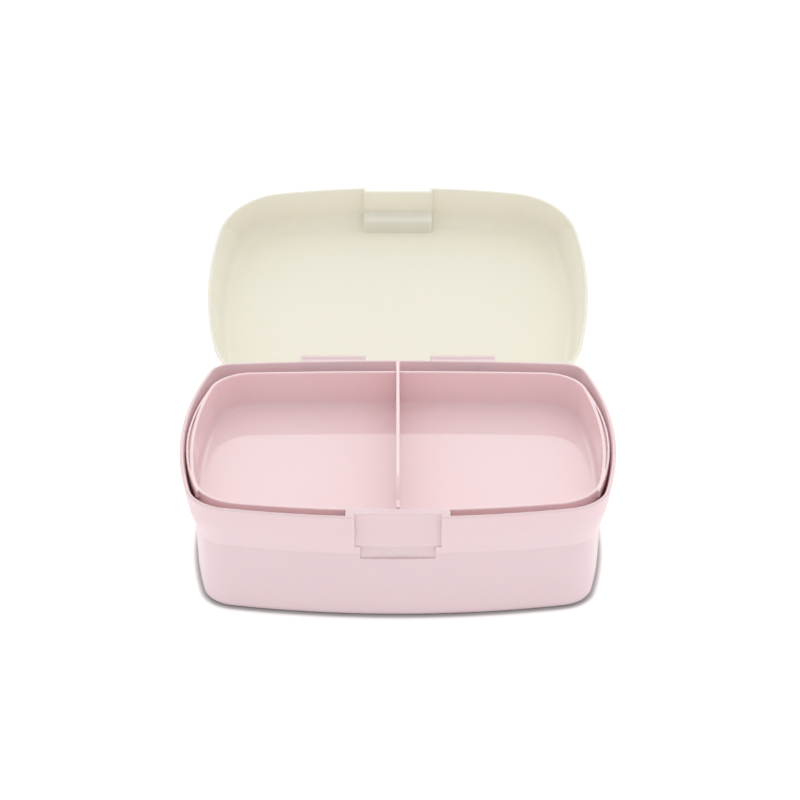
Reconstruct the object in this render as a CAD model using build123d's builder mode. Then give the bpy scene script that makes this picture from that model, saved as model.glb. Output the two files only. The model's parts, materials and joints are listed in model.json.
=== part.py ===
from build123d import *
import math
import os

# Hinged lunch box: base, hinged lid, snap clasp, lift-out tray and slot-in divider. Millimetres.
# Frame: +X to the right seen from the front, +Y to the hinge side, +Z up, origin in the middle of the base's
# underside. Everything is modelled in the closed pose. The lid group is then swung open for export.

# ---------------------------------------------------------------- overall
BASE_WIDTH = 175.4
BASE_DEPTH = 129.3
BASE_HEIGHT = 48.2
LID_HEIGHT = 21.8
LID_OPEN_DEG = 161.0
CLASP_OPEN_DEG = 140.0

# ---------------------------------------------------------------- plan outlines
FRONT_RADIUS = 360.0
BACK_RADIUS = 900.0
SIDE_RADIUS = 190.0
FRONT_CORNER = 20.0
BACK_CORNER = 10.3
SIDE_BULGE_Y = 1.8

LID_WIDTH = 173.6
LID_HALF_DEPTH = 64.0
LID_FRONT_RADIUS = 399.0
LID_BACK_RADIUS = 899.0
LID_SIDE_RADIUS = 182.0
LID_FRONT_CORNER = 33.0
LID_BACK_CORNER = 27.0
LID_SPAN_REACH = 84.0
LID_SPAN_RADIUS = 900.0
LID_SPAN_CORNER = 30.0

TRAY_WIDTH = 166.8
TRAY_FRONT = 57.1
TRAY_BACK = 56.3
TRAY_FRONT_RADIUS = 392.0
TRAY_BACK_RADIUS = 1500.0
TRAY_SIDE_RADIUS = 190.0
TRAY_FRONT_CORNER = 22.0
TRAY_BACK_CORNER = 18.0

# ---------------------------------------------------------------- base
STEP_Z = 28.6
LEDGE_Z = 30.6
BASE_FLOOR = 1.8
BASE_WALL = 1.7
BAND_INSET = 4.8
BELT_Z = (BASE_HEIGHT + STEP_Z) / 2
BELT_INSET = 1.45
BELT_ROUND = 25.0
UPPER_DRAFT = math.degrees(math.atan(BELT_INSET / (BASE_HEIGHT - BELT_Z)))
BELLY_DRAFT = math.degrees(math.atan((BAND_INSET - BELT_INSET) / (BELT_Z - STEP_Z)))
BAND_CAVITY_INSET = 5.6
RIM_CAVITY_INSET = 1.55
CAVITY_DRAFT = math.degrees(math.atan((BAND_CAVITY_INSET - RIM_CAVITY_INSET) / (BASE_HEIGHT - LEDGE_Z)))
LOWER_INSET = 5.1
LOWER_CAVITY_INSET = 7.0
LOWER_DRAFT = 1.3
RIM_ROUND = 0.8
RIM_INNER_ROUND = 0.45
BAND_ROLL = 1.5
FOOT_ROUND = 2.0
CAVITY_ROUND = 2.2
LEDGE_ROUND = 1.0
SHELF_INNER_INSET = 9.6
SHELF_HALF_LENGTH = 30.0
SHELF_THICK = 1.4

# ---------------------------------------------------------------- catch in the base's front
CATCH_HALF = 16.5
CATCH_EDGE_ROUND = 0.5
POCKET_EDGE_ROUND = 0.4
CATCH_BACK_HALF = 20.0
CATCH_BACK_Y = -57.3
CATCH_TOP_Y = -61.8
CATCH_LOW_Y = -60.5
CATCH_EDGE_Z = 33.1
POCKET_HALF = 14.4
POCKET_FACE_Y = -58.6
POCKET_FLOOR_Z = 26.8
FRONT_CUT_Y = -75.0

# ---------------------------------------------------------------- hinge
HINGE_Y = 69.5
HINGE_Z = 37.3
HINGE_PIN_R = 1.5
RUN_CLEAR = 0.06
BRACKET_CENTRE = 27.8
BRACKET_HALF = 14.0
BRACKET_KNUCKLE_R = 3.3
BRACKET_ROOT_Y = 63.4
BRACKET_FOOT_Y = 60.0
BRACKET_TOP_Z = BASE_HEIGHT - 0.15
BRACKET_TOP_Y = 65.0
BRACKET_GROOVE = (66.0, BASE_HEIGHT - 0.9)
BRACKET_RIDGE = (68.07, BRACKET_TOP_Z)
BRACKET_SHOULDER = (71.2, 45.6)
BRACKET_LOW_Z = 33.2
BRACKET_ROUND = 0.7
EAR_GAP = 0.4
EAR_THICK = 3.0
EAR_R = 3.2
EAR_ROOT_Y = 61.5
EAR_FOOT_Z = BASE_HEIGHT + 0.2
EAR_FRONT_Y = 66.3
EAR_TOP = (61.5, 57.5)
EAR_BACK_TOP = (66.2, 55.2)
EAR_BACK_LOW_Z = 42.0
EAR_ROUND = 0.5
EAR_OUT = BRACKET_HALF + EAR_GAP
EAR_STARTS = [
    -BRACKET_CENTRE - EAR_OUT - EAR_THICK,
    -BRACKET_CENTRE + EAR_OUT,
    BRACKET_CENTRE - EAR_OUT - EAR_THICK,
    BRACKET_CENTRE + EAR_OUT,
]

# ---------------------------------------------------------------- lid
RIM_GAP = 0.1
LID_WALL = 1.6
LID_PANEL = 1.7
LID_DRAFT = 2.5
LID_SIDE_DRAFT = 14.0
LID_SIDE_START = 0.25
LID_RIM_Z = BASE_HEIGHT + RIM_GAP
LID_TOP_Z = BASE_HEIGHT + LID_HEIGHT
LID_ROUND = 6.8
LID_CAVITY_ROUND = 5.0
LID_RIM_ROUND = 0.6
LID_RIM_INNER_ROUND = 0.4
LID_RECESS_ROUND = 0.5
RECESS_FACE_Y = -61.5
NOTCH_BACK_Y = -54.9
NOTCH_FLOOR_Z = 61.8
RECESS_HALF = 14.9
HOUSING_WALL = 1.6
HOUSING_ROUND = 1.6

# ---------------------------------------------------------------- clasp
CLASP_Y = -59.4
CLASP_Z = 65.4
CLASP_HALF = 14.4
CLASP_BARREL_R = 3.2
CLASP_OUTER_Y = -65.2
CLASP_THICK = 2.6
CLASP_TOP_Z = 67.6
CLASP_LOW_Z = 29.2
CLASP_LIP_Y = -66.6
HOOK_TIP_Y = -59.0
HOOK_TOP_Z = 32.8
HOOK_LOW_Z = 30.4
HOOK_HALF = 13.6
CLASP_FOOT_Z = 34.2
CLASP_PIN_R = 1.5
CLASP_EDGE_ROUND = 0.8
CLASP_SIDE_ROUND = 0.5

# ---------------------------------------------------------------- tray
TRAY_TOP_Z = 47.2
TRAY_WALL = 1.4
TRAY_FLOOR = 1.5
TRAY_DRAFT = 6.0
TRAY_ROUND = 1.4
TRAY_CAVITY_ROUND = 2.2
TRAY_RIM_ROUND = 0.4
GRIP_REACH = 85.1
GRIP_RADIUS = 135.0
GRIP_LIP = 1.0
GRIP_LOW_Z = 44.4
GRIP_FLOOR_Z = 45.6
NOTCH_WIDTH = 1.8
NOTCH_DEPTH = 3.2

# ---------------------------------------------------------------- divider
DIVIDER_THICK = 1.4
DIVIDER_TOP_Z = 57.0
DIVIDER_EAR_Z = 48.7
DIVIDER_EAR_LOW_Z = TRAY_TOP_Z - NOTCH_DEPTH
DIVIDER_TOP_HALF = 46.6
DIVIDER_SHOULDER_HALF = 51.4
DIVIDER_FRONT_EAR = -56.9
DIVIDER_BACK_EAR = 56.1
DIVIDER_TUCK = 1.9
DIVIDER_LOW_TUCK = 3.2
DIVIDER_CORNER_TUCK = 5.9
DIVIDER_LOW_RISE = 2.4
DIVIDER_ROUND = 3.4
DIVIDER_EDGE_ROUND = 0.4

OVERRUN = 4.0
SLACK = 0.02


def mirrored(point):
    """A point's mirror image across the box's middle plane."""
    return (-point[0], point[1])


class Barrel:
    """A closed plan outline of eight tangent arcs, bowed on all four sides. Insets keep the arc centres."""

    def __init__(self, width, front, back, front_r, back_r, side_r, front_corner, back_corner, side_y=0.0):
        self.side_r = side_r
        self.side_y = side_y
        self.side_x = width / 2 - side_r
        self.ends = [
            (-1, -front + front_r, front_r, front_corner),
            (1, back - back_r, back_r, back_corner),
        ]

    def corner(self, sign, end_y, end_r, corner_r):
        """The centre of the right-hand corner arc that touches an end arc and the side arc from inside."""
        far = end_r - corner_r
        near = self.side_r - corner_r
        rise = self.side_y - end_y
        span = math.hypot(self.side_x, rise)
        along = (far**2 - near**2 + span**2) / (2 * span)
        off = math.sqrt(far**2 - along**2)
        ux = self.side_x / span
        uy = rise / span
        options = []
        for turn in (1, -1):
            x = along * ux - turn * off * uy
            y = end_y + along * uy + turn * off * ux
            options.append((x, y))
        return max(options, key=lambda p: p[0] + sign * p[1])

    def half(self, inset):
        """The right half as four three-point arcs, from the front's middle to the back's middle."""
        arcs = []
        for sign, end_y, end_r, corner_r in self.ends:
            cx, cy = self.corner(sign, end_y, end_r, corner_r)
            r = corner_r - inset
            to_end = math.atan2(cy - end_y, cx)
            to_side = math.atan2(cy - self.side_y, cx - self.side_x)
            middle = (to_end + to_side) / 2
            end_point = (cx + r * math.cos(to_end), cy + r * math.sin(to_end))
            mid_point = (cx + r * math.cos(middle), cy + r * math.sin(middle))
            side_point = (cx + r * math.cos(to_side), cy + r * math.sin(to_side))
            arcs.append((end_point, mid_point, side_point, end_y + sign * (end_r - inset)))
        return arcs

    def face(self, inset=0.0):
        """The outline as a flat sketch."""
        front, back = self.half(inset)
        side_mid = (self.side_x + self.side_r - inset, self.side_y)
        with BuildSketch() as outline:
            with BuildLine():
                ThreePointArc(mirrored(front[0]), (0, front[3]), front[0])
                ThreePointArc(front[0], front[1], front[2])
                ThreePointArc(front[2], side_mid, back[2])
                ThreePointArc(back[2], back[1], back[0])
                ThreePointArc(back[0], (0, back[3]), mirrored(back[0]))
                ThreePointArc(mirrored(back[0]), mirrored(back[1]), mirrored(back[2]))
                ThreePointArc(mirrored(back[2]), mirrored(side_mid), mirrored(front[2]))
                ThreePointArc(mirrored(front[2]), mirrored(front[1]), mirrored(front[0]))
            make_face()
        return outline.sketch


BOX = Barrel(
    BASE_WIDTH,
    BASE_DEPTH / 2,
    BASE_DEPTH / 2,
    FRONT_RADIUS,
    BACK_RADIUS,
    SIDE_RADIUS,
    FRONT_CORNER,
    BACK_CORNER,
    SIDE_BULGE_Y,
)
LID = Barrel(
    LID_WIDTH,
    LID_HALF_DEPTH,
    LID_HALF_DEPTH,
    LID_FRONT_RADIUS,
    LID_BACK_RADIUS,
    LID_SIDE_RADIUS,
    LID_FRONT_CORNER,
    LID_BACK_CORNER,
)
LID_SPAN = Barrel(
    LID_WIDTH,
    LID_SPAN_REACH,
    LID_SPAN_REACH,
    LID_SPAN_RADIUS,
    LID_SPAN_RADIUS,
    LID_SIDE_RADIUS,
    LID_SPAN_CORNER,
    LID_SPAN_CORNER,
)
TRAY = Barrel(
    TRAY_WIDTH,
    TRAY_FRONT,
    TRAY_BACK,
    TRAY_FRONT_RADIUS,
    TRAY_BACK_RADIUS,
    TRAY_SIDE_RADIUS,
    TRAY_FRONT_CORNER,
    TRAY_BACK_CORNER,
)


def block(half_width, y_low, y_high, z_low, z_high):
    """A plain box, centred left to right, between four planes."""
    with BuildPart() as box:
        with BuildSketch(Plane.XY.offset(z_low)):
            with Locations((0, (y_low + y_high) / 2)):
                Rectangle(2 * half_width, y_high - y_low)
        extrude(amount=z_high - z_low)
    return box.part


def flat_face_at(part, z):
    """The largest horizontal face at a height."""
    faces = part.faces().filter_by(Plane.XY).filter_by_position(Axis.Z, z - 0.01, z + 0.01)
    return faces.sort_by(SortBy.AREA)[-1]


def edges_between(part, low, high):
    """The edges wholly inside a box that is given for the right half and holds for both."""
    found = []
    for edge in part.edges():
        points = [edge.position_at(step) for step in (0.0, 0.5, 1.0)]
        spans = [(abs(point.X), point.Y, point.Z) for point in points]
        if all(low[i] - SLACK <= span[i] <= high[i] + SLACK for span in spans for i in range(3)):
            found.append(edge)
    return ShapeList(found)


def side_plane(x):
    """The sketch plane at an X, facing +X, with Y across and Z up."""
    return Plane(origin=(x, 0, 0), x_dir=(0, 1, 0), z_dir=(1, 0, 0))


def bar(x_low, x_high, y, z, radius):
    """A round bar along X. Subtracted, it is a bore."""
    with BuildPart() as round_bar:
        with BuildSketch(side_plane(x_low)):
            with Locations((y, z)):
                Circle(radius)
        extrude(amount=x_high - x_low)
    return round_bar.part


def arm(profile, x_low, x_high, root_y, radius):
    """A hinge arm along X with its end edges rounded, apart from those inside the wall it grows from."""
    with BuildPart() as body:
        with BuildSketch(side_plane(x_low)):
            add(profile)
        extrude(amount=x_high - x_low)
        for end in (Axis.X.direction, -Axis.X.direction):
            face = body.faces().sort_by(Axis(origin=(0, 0, 0), direction=end))[-1]
            rounded = face.edges().filter_by(lambda edge: edge.center().Y > root_y + SLACK)
            fillet(rounded, radius=radius)
    return body.part


# ---------------------------------------------------------------- base
def make_base_cavity():
    """The space inside the base, less the catch housing and the two tray shelves that stand in it."""
    with BuildPart() as cavity:
        with BuildSketch(Plane.XY.offset(LEDGE_Z)):
            add(BOX.face(LOWER_CAVITY_INSET))
        extrude(amount=BASE_FLOOR - LEDGE_Z, taper=LOWER_DRAFT)
        fillet(flat_face_at(cavity, BASE_FLOOR).edges(), radius=CAVITY_ROUND)
    with BuildPart() as upper:
        with BuildSketch(Plane.XY.offset(LEDGE_Z)):
            add(BOX.face(BAND_CAVITY_INSET))
        extrude(amount=BASE_HEIGHT - LEDGE_Z, taper=-CAVITY_DRAFT)
        fillet(flat_face_at(upper, LEDGE_Z).edges(), radius=LEDGE_ROUND)
    with BuildPart() as shelves:
        with BuildSketch(Plane.XY.offset(LEDGE_Z - SHELF_THICK)):
            add(BOX.face(LOWER_CAVITY_INSET - BASE_WALL / 2))
            add(BOX.face(SHELF_INNER_INSET), mode=Mode.SUBTRACT)
            Rectangle(BASE_WIDTH, 2 * SHELF_HALF_LENGTH, mode=Mode.INTERSECT)
        extrude(amount=SHELF_THICK)
    with BuildPart() as space:
        add(cavity.part)
        add(upper.part)
        add(shelves.part, mode=Mode.SUBTRACT)
        low = POCKET_FLOOR_Z - BASE_WALL
        housing = block(CATCH_BACK_HALF, FRONT_CUT_Y, CATCH_BACK_Y, low, BASE_HEIGHT + OVERRUN)
        add(housing, mode=Mode.SUBTRACT)
    return space.part


def bracket_profile():
    """The side profile of a hinge bracket, in Y and Z: flush with the rim on top, a knuckle at the pin."""
    with BuildSketch() as profile:
        with BuildLine():
            Polyline(
                (BRACKET_FOOT_Y, BRACKET_LOW_Z),
                (BRACKET_ROOT_Y, BRACKET_TOP_Z),
                (BRACKET_TOP_Y, BRACKET_TOP_Z),
                BRACKET_GROOVE,
            )
            ThreePointArc(BRACKET_GROOVE, BRACKET_RIDGE, BRACKET_SHOULDER)
            Polyline(
                BRACKET_SHOULDER,
                (HINGE_Y + BRACKET_KNUCKLE_R, HINGE_Z),
                (HINGE_Y, HINGE_Z - BRACKET_KNUCKLE_R),
                (BRACKET_FOOT_Y, BRACKET_LOW_Z),
            )
        make_face()
        with Locations((HINGE_Y, HINGE_Z)):
            Circle(BRACKET_KNUCKLE_R)
    return profile.sketch


def make_band():
    """The deep rim band, bowed in towards its foot, with a rolled foot and a rounded rim."""
    with BuildPart() as band:
        with BuildSketch(Plane.XY.offset(BELT_Z)):
            add(BOX.face(BELT_INSET))
        extrude(amount=BASE_HEIGHT - BELT_Z, taper=-UPPER_DRAFT)
        with BuildSketch(Plane.XY.offset(BELT_Z)):
            add(BOX.face(BELT_INSET))
        extrude(amount=STEP_Z - BELT_Z, taper=BELLY_DRAFT)
        belt = band.edges().filter_by_position(Axis.Z, BELT_Z - SLACK, BELT_Z + SLACK)
        fillet(belt.filter_by(lambda edge: edge.bounding_box().size.Z < SLACK), radius=BELT_ROUND)
        fillet(flat_face_at(band, STEP_Z).edges(), radius=BAND_ROLL)
        fillet(flat_face_at(band, BASE_HEIGHT).edges(), radius=RIM_ROUND)
    return band.part


def make_catch_recess():
    """The leaning space in front of the catch, open at the top."""
    top = BASE_HEIGHT + OVERRUN
    lean = (CATCH_TOP_Y - CATCH_LOW_Y) / (BASE_HEIGHT - CATCH_EDGE_Z)
    with BuildPart() as recess:
        with BuildSketch(side_plane(-CATCH_HALF)):
            with BuildLine():
                Polyline(
                    (CATCH_LOW_Y, CATCH_EDGE_Z),
                    (CATCH_LOW_Y + lean * (top - CATCH_EDGE_Z), top),
                    (FRONT_CUT_Y, top),
                    (FRONT_CUT_Y, CATCH_EDGE_Z),
                    close=True,
                )
            make_face()
        extrude(amount=2 * CATCH_HALF)
    return recess.part


def make_base():
    """The outer shell with its catch recess in front and two hinge brackets behind."""
    space = make_base_cavity()
    lower_top = STEP_Z + BAND_ROLL
    bracket_wall_y = (BRACKET_ROOT_Y + BRACKET_FOOT_Y) / 2
    with BuildPart() as base:
        with BuildSketch(Plane.XY.offset(lower_top)):
            add(BOX.face(LOWER_INSET))
        extrude(amount=-lower_top, taper=LOWER_DRAFT)
        fillet(flat_face_at(base, 0.0).edges(), radius=FOOT_ROUND)
        add(make_band())
        add(space, mode=Mode.SUBTRACT)
        fillet(flat_face_at(base, BASE_HEIGHT).inner_wires()[0].edges(), radius=RIM_INNER_ROUND)
        add(make_catch_recess(), mode=Mode.SUBTRACT)
        pocket = block(POCKET_HALF, FRONT_CUT_Y, POCKET_FACE_Y, POCKET_FLOOR_Z, CATCH_EDGE_Z)
        add(pocket, mode=Mode.SUBTRACT)
        low = (CATCH_HALF, FRONT_CUT_Y, CATCH_EDGE_Z)
        high = (CATCH_HALF, CATCH_LOW_Y - CATCH_EDGE_ROUND, BASE_HEIGHT)
        sides = edges_between(base, low, high)
        low = (0.0, FRONT_CUT_Y, BASE_HEIGHT)
        high = (CATCH_HALF, CATCH_TOP_Y, BASE_HEIGHT)
        fillet(sides + edges_between(base, low, high), radius=CATCH_EDGE_ROUND)
        low = (POCKET_HALF, FRONT_CUT_Y, POCKET_FLOOR_Z)
        high = (POCKET_HALF, POCKET_FACE_Y - POCKET_EDGE_ROUND, CATCH_EDGE_Z - POCKET_EDGE_ROUND)
        sides = edges_between(base, low, high)
        low = (0.0, FRONT_CUT_Y, POCKET_FLOOR_Z)
        high = (POCKET_HALF, POCKET_FACE_Y - POCKET_EDGE_ROUND, POCKET_FLOOR_Z)
        fillet(sides + edges_between(base, low, high), radius=POCKET_EDGE_ROUND)
        for side in (-1, 1):
            x_low = side * BRACKET_CENTRE - BRACKET_HALF
            x_high = x_low + 2 * BRACKET_HALF
            add(arm(bracket_profile(), x_low, x_high, bracket_wall_y, BRACKET_ROUND))
            bore = bar(x_low, x_high, HINGE_Y, HINGE_Z, HINGE_PIN_R + RUN_CLEAR)
            add(bore, mode=Mode.SUBTRACT)
    base.part.label = "base"
    return base.part


# ---------------------------------------------------------------- lid
def make_clasp_housing(half, top):
    """The rounded block that stands inside the lid around the clasp's notch."""
    inner_y = NOTCH_BACK_Y + HOUSING_WALL
    ledge = NOTCH_FLOOR_Z - HOUSING_WALL
    with BuildPart() as housing:
        add(block(half, FRONT_CUT_Y, inner_y, ledge, top))
        low = (0.0, inner_y, ledge)
        high = (half, inner_y, top)
        fillet(edges_between(housing, low, high).filter_by(Axis.Z), radius=HOUSING_ROUND)
        low = (0.0, FRONT_CUT_Y, ledge)
        fillet(edges_between(housing, low, (half, inner_y, ledge)), radius=HOUSING_ROUND)
    return housing.part


def lid_form(inset, top_z, radius):
    """A solid lid shape, rounded on top: steep in front and behind, leaning further in at the short sides."""
    with BuildPart() as span:
        with BuildSketch(Plane.XY.offset(LID_RIM_Z)):
            add(LID_SPAN.face(inset - LID_SIDE_START))
        extrude(amount=top_z - LID_RIM_Z, taper=LID_SIDE_DRAFT)
        fillet(flat_face_at(span, top_z).edges(), radius=radius)
    with BuildPart() as form:
        with BuildSketch(Plane.XY.offset(LID_RIM_Z)):
            add(LID.face(inset))
        extrude(amount=top_z - LID_RIM_Z, taper=LID_DRAFT)
        fillet(flat_face_at(form, top_z).edges(), radius=radius)
        add(span.part, mode=Mode.INTERSECT)
    return form.part


def make_lid_cavity():
    """The space inside the lid, less the clasp housing that stands in it."""
    with BuildPart() as cavity:
        add(lid_form(LID_WALL, LID_TOP_Z - LID_PANEL, LID_CAVITY_ROUND))
        half = RECESS_HALF + HOUSING_WALL
        low = BASE_HEIGHT - OVERRUN
        high = LID_TOP_Z + OVERRUN
        panel = block(half, FRONT_CUT_Y, RECESS_FACE_Y + HOUSING_WALL, low, high)
        add(panel, mode=Mode.SUBTRACT)
        add(make_clasp_housing(half, high), mode=Mode.SUBTRACT)
    return cavity.part


def ear_profile():
    """The side profile of a lid hinge ear, in Y and Z: rooted in the lid's back wall, round at the pin."""
    with BuildSketch() as profile:
        with BuildLine():
            Polyline(
                (EAR_ROOT_Y, EAR_FOOT_Z),
                EAR_TOP,
                EAR_BACK_TOP,
                (HINGE_Y + EAR_R, EAR_BACK_LOW_Z),
                (HINGE_Y + EAR_R, HINGE_Z),
                (EAR_FRONT_Y, HINGE_Z),
                (EAR_FRONT_Y, EAR_FOOT_Z),
                close=True,
            )
        make_face()
        with Locations((HINGE_Y, HINGE_Z)):
            Circle(EAR_R)
    return profile.sketch


def make_lid():
    """The domed lid with its clasp recess in front and four hinge ears behind, closed pose."""
    space = make_lid_cavity()
    with BuildPart() as lid:
        add(lid_form(0.0, LID_TOP_Z, LID_ROUND))
        fillet(flat_face_at(lid, LID_RIM_Z).edges(), radius=LID_RIM_ROUND)
        for x_low in EAR_STARTS:
            add(arm(ear_profile(), x_low, x_low + EAR_THICK, EAR_ROOT_Y, EAR_ROUND))
        add(space, mode=Mode.SUBTRACT)
        fillet(flat_face_at(lid, LID_RIM_Z).inner_wires()[0].edges(), radius=LID_RIM_INNER_ROUND)
        low = BASE_HEIGHT - OVERRUN
        high = LID_TOP_Z + OVERRUN
        recess = block(RECESS_HALF, FRONT_CUT_Y, RECESS_FACE_Y, low, high)
        add(recess, mode=Mode.SUBTRACT)
        notch = block(RECESS_HALF, FRONT_CUT_Y, NOTCH_BACK_Y, NOTCH_FLOOR_Z, high)
        add(notch, mode=Mode.SUBTRACT)
        low = (RECESS_HALF, FRONT_CUT_Y, LID_RIM_Z)
        high = (RECESS_HALF, RECESS_FACE_Y - LID_RECESS_ROUND, LID_TOP_Z)
        mouth = edges_between(lid, low, high)
        low = (0.0, RECESS_FACE_Y, LID_RIM_Z)
        high = (RECESS_HALF, RECESS_FACE_Y, LID_RIM_Z)
        fillet(mouth + edges_between(lid, low, high), radius=LID_RECESS_ROUND)
        half = RECESS_HALF + HOUSING_WALL
        add(bar(-half, half, CLASP_Y, CLASP_Z, CLASP_PIN_R), mode=Mode.SUBTRACT)
        for x_low in EAR_STARTS:
            bore = bar(x_low, x_low + EAR_THICK, HINGE_Y, HINGE_Z, HINGE_PIN_R)
            add(bore, mode=Mode.SUBTRACT)
    lid.part.label = "lid"
    return lid.part


def make_hinge_pin(name, side):
    """A round pin through one bracket, held in the ear at each of its ends, closed pose."""
    reach = EAR_OUT + EAR_THICK
    x_low = side * BRACKET_CENTRE - reach
    pin = bar(x_low, x_low + 2 * reach, HINGE_Y, HINGE_Z, HINGE_PIN_R)
    pin.label = f"hinge_pin_{name}"
    return pin


# ---------------------------------------------------------------- clasp
def make_clasp():
    """The snap clasp, closed pose: barrel on its pin, flat plate, hook under the catch, finger lip."""
    inner_y = CLASP_OUTER_Y + CLASP_THICK
    with BuildPart() as clasp:
        with BuildSketch(side_plane(-CLASP_HALF)):
            with BuildLine():
                Polyline(
                    (CLASP_OUTER_Y, CLASP_TOP_Z - CLASP_BARREL_R),
                    (CLASP_OUTER_Y, HOOK_LOW_Z + 1.6),
                    (CLASP_LIP_Y, CLASP_LOW_Z),
                    (inner_y, CLASP_LOW_Z),
                    (inner_y, CLASP_Z - CLASP_BARREL_R),
                    (CLASP_Y, CLASP_Z - CLASP_BARREL_R),
                    (CLASP_Y, CLASP_Z + CLASP_BARREL_R),
                    (CLASP_OUTER_Y + CLASP_BARREL_R, CLASP_Z + CLASP_BARREL_R),
                    close=True,
                )
            make_face()
            with Locations((CLASP_Y, CLASP_Z)):
                Circle(CLASP_BARREL_R)
        extrude(amount=2 * CLASP_HALF)
        rails = clasp.edges().filter_by(Axis.X).filter_by_position(
            Axis.Y, CLASP_OUTER_Y - 0.01, CLASP_OUTER_Y + 0.01
        )
        fillet(rails, radius=CLASP_EDGE_ROUND)
        for side in (-1, 1):
            with BuildSketch(Plane.XY.offset(CLASP_LOW_Z - OVERRUN)):
                with Locations((side * (HOOK_HALF + OVERRUN), CLASP_Y)):
                    Rectangle(2 * OVERRUN, 4 * OVERRUN)
            extrude(amount=CLASP_FOOT_Z + OVERRUN - CLASP_LOW_Z, mode=Mode.SUBTRACT)
        low = (CLASP_HALF, CLASP_LIP_Y, CLASP_FOOT_Z)
        high = (CLASP_HALF, CLASP_OUTER_Y + CLASP_BARREL_R, CLASP_Z + CLASP_BARREL_R)
        fillet(edges_between(clasp, low, high), radius=CLASP_SIDE_ROUND)
        low = (0.0, CLASP_LIP_Y, CLASP_LOW_Z)
        high = (HOOK_HALF, inner_y, CLASP_LOW_Z)
        fillet(edges_between(clasp, low, high).filter_by(Axis.X), radius=CLASP_SIDE_ROUND)
        add(block(HOOK_HALF, inner_y - CLASP_THICK / 2, HOOK_TIP_Y, HOOK_LOW_Z, HOOK_TOP_Z))
        tips = clasp.edges().filter_by(Axis.X).filter_by_position(
            Axis.Y, HOOK_TIP_Y - 0.01, HOOK_TIP_Y + 0.01
        )
        chamfer(tips.sort_by(Axis.Z)[0], length=1.4, length2=0.9)
        bore = bar(-CLASP_HALF, CLASP_HALF, CLASP_Y, CLASP_Z, CLASP_PIN_R + RUN_CLEAR)
        add(bore, mode=Mode.SUBTRACT)
    clasp.part.label = "clasp"
    return clasp.part


def make_clasp_pin():
    """The clasp's round pin, held in the housing's side walls, closed pose."""
    half = RECESS_HALF + HOUSING_WALL
    pin = bar(-half, half, CLASP_Y, CLASP_Z, CLASP_PIN_R)
    pin.label = "clasp_pin"
    return pin


# ---------------------------------------------------------------- tray
def make_tray():
    """The shallow tray: tapered walls, a crescent finger grip at each short side, two divider notches."""
    depth = TRAY_TOP_Z - LEDGE_Z
    with BuildPart() as cavity:
        with BuildSketch(Plane.XY.offset(TRAY_TOP_Z)):
            add(TRAY.face(TRAY_WALL))
        extrude(amount=TRAY_FLOOR - depth, taper=TRAY_DRAFT)
        fillet(flat_face_at(cavity, LEDGE_Z + TRAY_FLOOR).edges(), radius=TRAY_CAVITY_ROUND)
    with BuildPart() as tray:
        with BuildSketch(Plane.XY.offset(TRAY_TOP_Z)):
            add(TRAY.face())
        extrude(amount=-depth, taper=TRAY_DRAFT)
        fillet(flat_face_at(tray, LEDGE_Z).edges(), radius=TRAY_ROUND)
        for side in (-1, 1):
            centre = side * (GRIP_REACH - GRIP_RADIUS)
            reach = side * TRAY_WIDTH / 2
            with BuildSketch(Plane.XY.offset(GRIP_LOW_Z)):
                with Locations((centre, 0)):
                    Circle(GRIP_RADIUS)
                with Locations((reach, 0)):
                    Rectangle(TRAY_WIDTH / 4, TRAY_FRONT * 1.5, mode=Mode.INTERSECT)
            extrude(amount=GRIP_FLOOR_Z - GRIP_LOW_Z)
            with BuildSketch(Plane.XY.offset(GRIP_LOW_Z)):
                with Locations((centre, 0)):
                    Circle(GRIP_RADIUS)
                    Circle(GRIP_RADIUS - GRIP_LIP, mode=Mode.SUBTRACT)
                with Locations((reach, 0)):
                    Rectangle(TRAY_WIDTH / 4, TRAY_FRONT * 1.5, mode=Mode.INTERSECT)
            extrude(amount=TRAY_TOP_Z - GRIP_LOW_Z)
        add(cavity.part, mode=Mode.SUBTRACT)
        rim = flat_face_at(tray, TRAY_TOP_Z).edges()
        fillet(rim, radius=TRAY_RIM_ROUND)
        slot = NOTCH_WIDTH / 2
        floor = TRAY_TOP_Z - NOTCH_DEPTH
        top = TRAY_TOP_Z + OVERRUN
        for rim_y in (-TRAY_FRONT, TRAY_BACK):
            notch = block(slot, rim_y - OVERRUN, rim_y + OVERRUN, floor, top)
            add(notch, mode=Mode.SUBTRACT)
    tray.part.label = "tray"
    return tray.part


# ---------------------------------------------------------------- divider
def divider_end(edge_y, ear_y, sign):
    """One end of the divider's profile, from its foot up to the top edge, in Y and Z."""
    foot_z = LEDGE_Z + TRAY_FLOOR
    return [
        (edge_y - sign * DIVIDER_CORNER_TUCK, foot_z),
        (edge_y - sign * DIVIDER_LOW_TUCK, foot_z + DIVIDER_LOW_RISE),
        (edge_y - sign * DIVIDER_TUCK, DIVIDER_EAR_LOW_Z),
        (ear_y, DIVIDER_EAR_LOW_Z),
        (ear_y, DIVIDER_EAR_Z),
        (sign * DIVIDER_SHOULDER_HALF, DIVIDER_EAR_Z),
        (sign * (DIVIDER_TOP_HALF + DIVIDER_ROUND), DIVIDER_TOP_Z - DIVIDER_ROUND),
    ]


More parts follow.
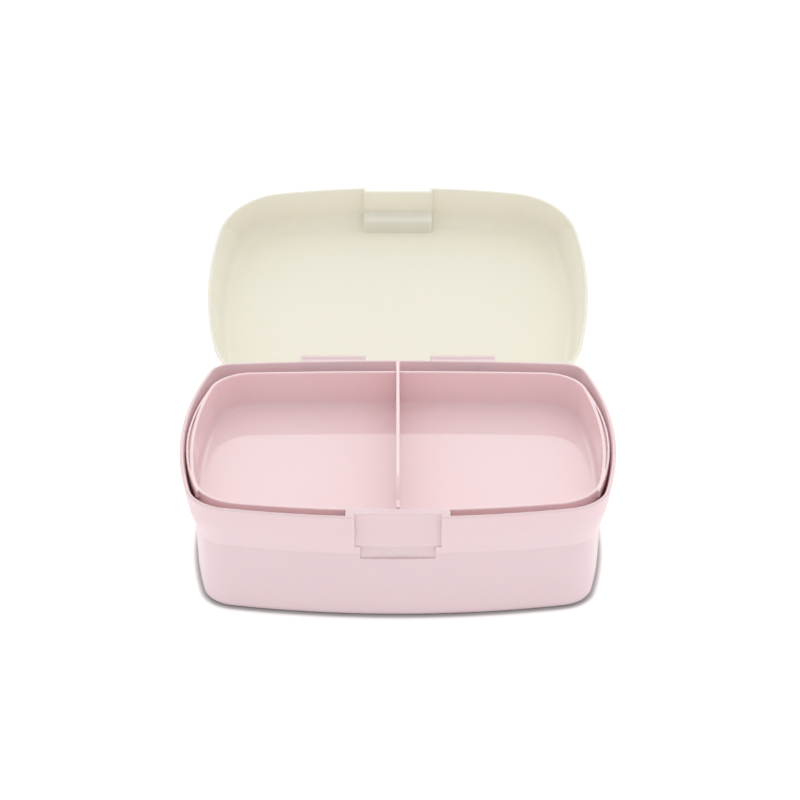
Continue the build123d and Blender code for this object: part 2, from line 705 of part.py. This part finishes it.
def make_divider():
    """The upright plate that drops into the tray's notches and parts it in two."""
    front = divider_end(-TRAY_FRONT, DIVIDER_FRONT_EAR, -1)
    back = divider_end(TRAY_BACK, DIVIDER_BACK_EAR, 1)
    lean = math.radians(45)
    with BuildPart() as divider:
        with BuildSketch(side_plane(-DIVIDER_THICK / 2)):
            with BuildLine():
                Polyline(front)
                for sign in (-1, 1):
                    centre_y = sign * DIVIDER_TOP_HALF
                    centre_z = DIVIDER_TOP_Z - DIVIDER_ROUND
                    bulge = DIVIDER_ROUND * math.sin(lean)
                    ThreePointArc(
                        (centre_y + sign * DIVIDER_ROUND, centre_z),
                        (centre_y + sign * bulge, centre_z + bulge),
                        (centre_y, DIVIDER_TOP_Z),
                    )
                Line((-DIVIDER_TOP_HALF, DIVIDER_TOP_Z), (DIVIDER_TOP_HALF, DIVIDER_TOP_Z))
                Polyline(back)
                Line(front[0], back[0])
            make_face()
        extrude(amount=DIVIDER_THICK)
        top = edges_between(
            divider,
            (DIVIDER_THICK / 2, -TRAY_FRONT, DIVIDER_EAR_Z),
            (DIVIDER_THICK / 2, TRAY_BACK, DIVIDER_TOP_Z),
        )
        fillet(top, radius=DIVIDER_EDGE_ROUND)
    divider.part.label = "divider"
    return divider.part


# ---------------------------------------------------------------- the open pose, and export
def swung(piece, y, z, degrees):
    """The piece turned open about an axis along X. Opening turns the front up and back."""
    turned = piece.rotate(Axis((0, y, z), (1, 0, 0)), -degrees)
    turned.label = piece.label
    return turned


def main():
    os.makedirs("parts", exist_ok=True)
    clasp = swung(make_clasp(), CLASP_Y, CLASP_Z, CLASP_OPEN_DEG)
    with_lid = [make_lid(), make_hinge_pin("left", -1), make_hinge_pin("right", 1), make_clasp_pin(), clasp]
    pieces = [make_base(), make_tray(), make_divider()]
    pieces += [swung(piece, HINGE_Y, HINGE_Z, LID_OPEN_DEG) for piece in with_lid]
    for piece in pieces:
        export_step(piece, f"parts/{piece.label}.step")


main()
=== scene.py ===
import json
import math

import bpy
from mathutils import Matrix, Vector

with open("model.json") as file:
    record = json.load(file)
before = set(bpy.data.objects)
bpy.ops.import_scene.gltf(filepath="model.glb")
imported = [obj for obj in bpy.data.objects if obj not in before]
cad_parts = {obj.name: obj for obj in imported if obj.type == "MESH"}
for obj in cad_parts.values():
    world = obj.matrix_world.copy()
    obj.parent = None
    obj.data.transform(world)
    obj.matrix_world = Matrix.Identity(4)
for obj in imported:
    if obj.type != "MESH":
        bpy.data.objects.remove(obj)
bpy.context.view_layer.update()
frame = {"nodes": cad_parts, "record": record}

# Lunch box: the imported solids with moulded-plastic materials, on a white floor in soft studio light.
# Everything is in metres, in the frame's axes: +X right, +Y to the hinge side, +Z up.

# ---------------------------------------------------------------- camera settings
CAMERA_PLACE = (0.0, -0.793, 0.498)
CAMERA_DOWN_DEG = 28.7
CAMERA_FOCAL_MM = 101.8
CAMERA_SENSOR_MM = 36.0
CAMERA_SHIFT_X = 0.0026

# ---------------------------------------------------------------- light settings
# The surroundings are dimmer in front of the box than behind it. The change runs along the direction's Y.
FRONT_LIGHT = 0.76
BACK_LIGHT = 0.97
FRONT_Y = -1.0
BACK_Y = 0.4
WORLD_TINT = (1.0, 0.995, 0.99)

SOFTBOXES = {
    "overhead": {"place": (0.45, 0.20, 1.20), "aim": (0.0, 0.05, 0.0), "size": (0.9, 0.9), "watts": 0.5},
    "back": {"place": (0.0, 1.30, 0.75), "aim": (0.0, 0.0, 0.05), "size": (1.8, 0.9), "watts": 3.8},
}

# ---------------------------------------------------------------- plastic settings
BLUSH = (0.80, 0.635, 0.66)
# The tray's pink is the shell's pink painted lighter and more saturated, standing in for the light bounced
# around inside the box.
BLUSH_TRAY_LIT = (0.915, 0.685, 0.705)
CREAM = (0.905, 0.880, 0.780)

# How far red, green and blue light spread inside the plastic, as shares of GLOW_DEPTH
BLUSH_SPREAD = (1.0, 0.60, 0.58)
CREAM_SPREAD = (1.0, 0.9, 0.7)
GLOW_DEPTH = 0.003
GLOW_WEIGHT = 0.35
PLASTIC_IOR = 1.50

PLASTICS = {
    "blush_shell": {
        "colour": BLUSH,
        "roughness": 0.36,
        "spread": BLUSH_SPREAD,
        "grain": 0.20,
        "peel": 0.04,
    },
    # The tray's colour has painted bounce light in it: it is a lighter copy of the shell's pink.
    "blush_tray": {
        "colour": BLUSH_TRAY_LIT,
        "roughness": 0.05,
        "spread": BLUSH_SPREAD,
        "grain": 0.02,
        "peel": 0.012,
    },
    "cream_shell": {
        "colour": CREAM,
        "roughness": 0.15,
        "spread": CREAM_SPREAD,
        "grain": 0.08,
        "peel": 0.04,
    },
}

# Each noise is its scale per metre, detail and roughness
CLOUD_NOISE = (9.0, 3.0, 0.5)
SPECKLE_NOISE = (900.0, 2.0, 0.6)
RUB_NOISE = (55.0, 5.0, 0.65)
PEEL_NOISE = (70.0, 1.0, 0.4)
GRAIN_NOISE = (2600.0, 2.0, 0.6)
NOISE_RANGE = (0.3, 0.7)

CLOUD_SHADE = (0.988, 1.008)
SPECKLE_SHADE = (0.992, 1.006)
RUB_LEAST = 0.88
RUB_MOST = 1.15
PEEL_DEPTH = 0.0002
GRAIN_DEPTH = 0.00006

# ---------------------------------------------------------------- floor settings
FLOOR_REACH = 4.0
FLOOR_WHITE = 0.93
FLOOR_GLOW = 0.36
FLOOR_SPECULAR = 0.2
FLOOR_NOISE = (30.0, 3.0, 0.5)
FLOOR_ROUGHNESS = (0.6, 0.7)

# Painted contact shadow: beside the box, an ambient-occlusion mask greys the floor's white and fades out its
# emission over this reach.
PAINTED_SHADOW_REACH = 0.0035
PAINTED_SHADOW_GREY = 0.52
PAINTED_SHADOW_OPENNESS = (0.60, 0.95)


# ---------------------------------------------------------------- node helpers
class Nodes:
    """A material's node tree, with short calls for adding and joining nodes."""

    def __init__(self, name):
        self.material = bpy.data.materials.new(name)
        self.material.use_nodes = True
        self.tree = self.material.node_tree
        self.tree.nodes.clear()

    def add(self, kind):
        return self.tree.nodes.new(kind)

    def join(self, source, target):
        self.tree.links.new(source, target)

    def place(self):
        return self.add("ShaderNodeTexCoord").outputs["Object"]

    def surface(self):
        """A shader joined to the material's output."""
        shader = self.add("ShaderNodeBsdfPrincipled")
        output = self.add("ShaderNodeOutputMaterial")
        self.join(shader.outputs["BSDF"], output.inputs["Surface"])
        return shader

    def noise(self, place, settings):
        node = self.add("ShaderNodeTexNoise")
        for key, value in zip(("Scale", "Detail", "Roughness"), settings):
            node.inputs[key].default_value = value
        self.join(place, node.inputs["Vector"])
        return node.outputs["Fac"]

    def span(self, value, target, source=NOISE_RANGE):
        """Maps a value from the source range onto the target range."""
        node = self.add("ShaderNodeMapRange")
        node.inputs["From Min"].default_value = source[0]
        node.inputs["From Max"].default_value = source[1]
        node.inputs["To Min"].default_value = target[0]
        node.inputs["To Max"].default_value = target[1]
        self.join(value, node.inputs["Value"])
        return node.outputs["Result"]

    def multiply(self, first, second):
        node = self.add("ShaderNodeMath")
        node.operation = "MULTIPLY"
        self.join(first, node.inputs[0])
        self.join(second, node.inputs[1])
        return node.outputs["Value"]

    def tint(self, colour, shade):
        node = self.add("ShaderNodeVectorMath")
        node.operation = "SCALE"
        node.inputs[0].default_value = colour
        self.join(shade, node.inputs["Scale"])
        return node.outputs["Vector"]

    def bump(self, height, strength, distance, normal=None):
        node = self.add("ShaderNodeBump")
        node.inputs["Strength"].default_value = strength
        node.inputs["Distance"].default_value = distance
        self.join(height, node.inputs["Height"])
        if normal is not None:
            self.join(normal, node.inputs["Normal"])
        return node.outputs["Normal"]


# ---------------------------------------------------------------- plastics
def make_plastic(slot, colour, roughness, spread, grain, peel):
    """Moulded polypropylene: slightly cloudy, softly translucent, with mould grain and a faint orange peel."""
    n = Nodes(slot + "_pp")
    place = n.place()
    shader = n.surface()

    cloud = n.span(n.noise(place, CLOUD_NOISE), CLOUD_SHADE)
    speckle = n.span(n.noise(place, SPECKLE_NOISE), SPECKLE_SHADE)
    n.join(n.tint(colour, n.multiply(cloud, speckle)), shader.inputs["Base Color"])

    rub = n.span(n.noise(place, RUB_NOISE), (roughness * RUB_LEAST, roughness * RUB_MOST))
    n.join(rub, shader.inputs["Roughness"])
    shader.inputs["IOR"].default_value = PLASTIC_IOR
    shader.inputs["Subsurface Weight"].default_value = GLOW_WEIGHT
    shader.inputs["Subsurface Radius"].default_value = spread
    shader.inputs["Subsurface Scale"].default_value = GLOW_DEPTH

    waves = n.bump(n.noise(place, PEEL_NOISE), peel, PEEL_DEPTH)
    fine = n.bump(n.noise(place, GRAIN_NOISE), grain, GRAIN_DEPTH, waves)
    n.join(fine, shader.inputs["Normal"])
    return n.material


def dress_pieces():
    """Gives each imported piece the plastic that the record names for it."""
    plastics = {slot: make_plastic(slot, **settings) for slot, settings in PLASTICS.items()}
    slot_of = {entry["node"]: entry["material_slot"] for entry in frame["record"]["subparts"]}
    for name, piece in frame["nodes"].items():
        for slot in piece.material_slots:
            slot.material = plastics[slot_of[name]]


# ---------------------------------------------------------------- floor
def make_floor_material():
    n = Nodes("sweep_white_painted_shadow")
    shader = n.surface()
    # Painted contact shadow: ambient occlusion greys the floor's colour and dims its emission beside the box.
    painted_shadow_mask = n.add("ShaderNodeAmbientOcclusion")
    painted_shadow_mask.inputs["Distance"].default_value = PAINTED_SHADOW_REACH
    white_with_painted_shadow = n.span(painted_shadow_mask.outputs["AO"], (PAINTED_SHADOW_GREY, FLOOR_WHITE), PAINTED_SHADOW_OPENNESS)
    n.join(white_with_painted_shadow, shader.inputs["Base Color"])
    glow_with_painted_shadow = n.span(painted_shadow_mask.outputs["AO"], (0.0, FLOOR_GLOW), PAINTED_SHADOW_OPENNESS)
    n.join(glow_with_painted_shadow, shader.inputs["Emission Strength"])
    shader.inputs["Emission Color"].default_value = (1.0, 1.0, 1.0, 1.0)
    shader.inputs["Specular IOR Level"].default_value = FLOOR_SPECULAR
    n.join(n.span(n.noise(n.place(), FLOOR_NOISE), FLOOR_ROUGHNESS), shader.inputs["Roughness"])
    return n.material


def make_floor():
    signs = ((-1, -1), (1, -1), (1, 1), (-1, 1))
    corners = [(x * FLOOR_REACH, y * FLOOR_REACH, 0.0) for x, y in signs]
    mesh = bpy.data.meshes.new("floor")
    mesh.from_pydata(corners, [], [(0, 1, 2, 3)])
    mesh.materials.append(make_floor_material())
    floor = bpy.data.objects.new("floor", mesh)
    bpy.context.scene.collection.objects.link(floor)


# ---------------------------------------------------------------- light
def make_world():
    world = bpy.data.worlds.new("studio")
    bpy.context.scene.world = world
    world.use_nodes = True
    tree = world.node_tree
    sky = tree.nodes["Background"]
    sky.inputs["Color"].default_value = (*WORLD_TINT, 1.0)
    place = tree.nodes.new("ShaderNodeTexCoord")
    parts = tree.nodes.new("ShaderNodeSeparateXYZ")
    ramp = tree.nodes.new("ShaderNodeMapRange")
    ramp.interpolation_type = "SMOOTHSTEP"
    ramp.inputs["From Min"].default_value = FRONT_Y
    ramp.inputs["From Max"].default_value = BACK_Y
    ramp.inputs["To Min"].default_value = FRONT_LIGHT
    ramp.inputs["To Max"].default_value = BACK_LIGHT
    tree.links.new(place.outputs["Generated"], parts.inputs["Vector"])
    tree.links.new(parts.outputs["Y"], ramp.inputs["Value"])
    tree.links.new(ramp.outputs["Result"], sky.inputs["Strength"])


def make_softbox(name, place, aim, size, watts):
    lamp = bpy.data.lights.new(name, "AREA")
    lamp.shape = "RECTANGLE"
    lamp.size, lamp.size_y = size
    lamp.energy = watts
    holder = bpy.data.objects.new(name, lamp)
    bpy.context.scene.collection.objects.link(holder)
    holder.location = place
    holder.rotation_euler = (Vector(aim) - Vector(place)).to_track_quat("-Z", "Y").to_euler()


# ---------------------------------------------------------------- camera
def make_camera():
    data = bpy.data.cameras.new("camera")
    data.sensor_width = CAMERA_SENSOR_MM
    data.lens = CAMERA_FOCAL_MM
    data.shift_x = CAMERA_SHIFT_X
    camera = bpy.data.objects.new("camera", data)
    bpy.context.scene.collection.objects.link(camera)
    camera.location = CAMERA_PLACE
    camera.rotation_euler = (math.radians(90.0 - CAMERA_DOWN_DEG), 0.0, 0.0)
    bpy.context.scene.camera = camera
    bpy.context.scene.view_settings.view_transform = "Standard"
    bpy.context.scene.view_settings.look = "None"


# ---------------------------------------------------------------- the scene
dress_pieces()
make_floor()
make_world()
for name, settings in SOFTBOXES.items():
    make_softbox(name, **settings)
make_camera()
